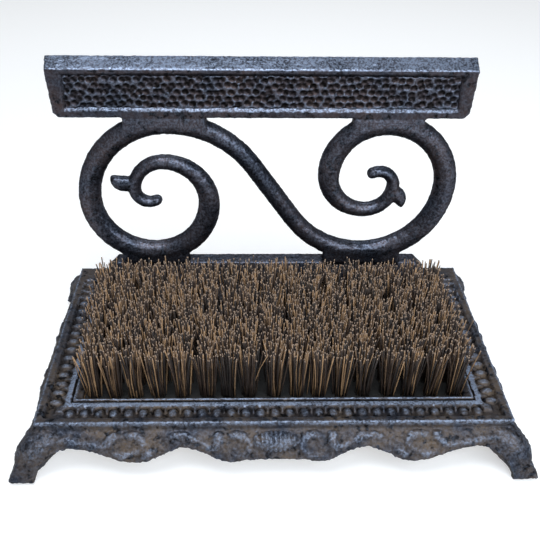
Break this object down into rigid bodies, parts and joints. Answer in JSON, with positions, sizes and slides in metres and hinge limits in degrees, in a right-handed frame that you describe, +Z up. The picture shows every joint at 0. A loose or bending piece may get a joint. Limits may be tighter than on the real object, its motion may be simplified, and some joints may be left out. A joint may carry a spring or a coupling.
{
  "type": "boot scraper",
  "caption": "Cast iron boot scraper: a scrolled upright with a hammered blade, bolted to a footed base with a bead border that frames a stiff fibre brush.",
  "frame": {"origin": "on the floor, under the middle of the base", "axes": "+X to the right along the base, +Y to the back where the scraper stands, +Z up"},
  "size_m": [0.3322, 0.2158, 0.2113],
  "materials": {
    "base_iron": "blackened sand casting, satin, with lighter worn high spots",
    "scraper_iron": "blackened sand casting, satin, orange-peel skin",
    "brush_wood": "planed hardwood, oiled",
    "bristle": "stiff plant fibre, matt, tan to dark brown with pale cut tips",
    "fastener_steel": "zinc plated"
  },
  "bodies": {
    "root": {"base_casting": "base_iron", "scraper_casting": "scraper_iron", "brush_block": "brush_wood", "bristle_row_1": "bristle", "bristle_row_2": "bristle", "bristle_row_3": "bristle", "bristle_row_4": "bristle", "bristle_row_5": "bristle", "bristle_row_6": "bristle", "bristle_row_7": "bristle", "bristle_row_8": "bristle", "scraper_bolts": "fastener_steel", "spring_washers": "fastener_steel", "flat_washers": "fastener_steel", "brush_screws": "fastener_steel", "brush_washers": "fastener_steel"}
  },
  "joints": []
}
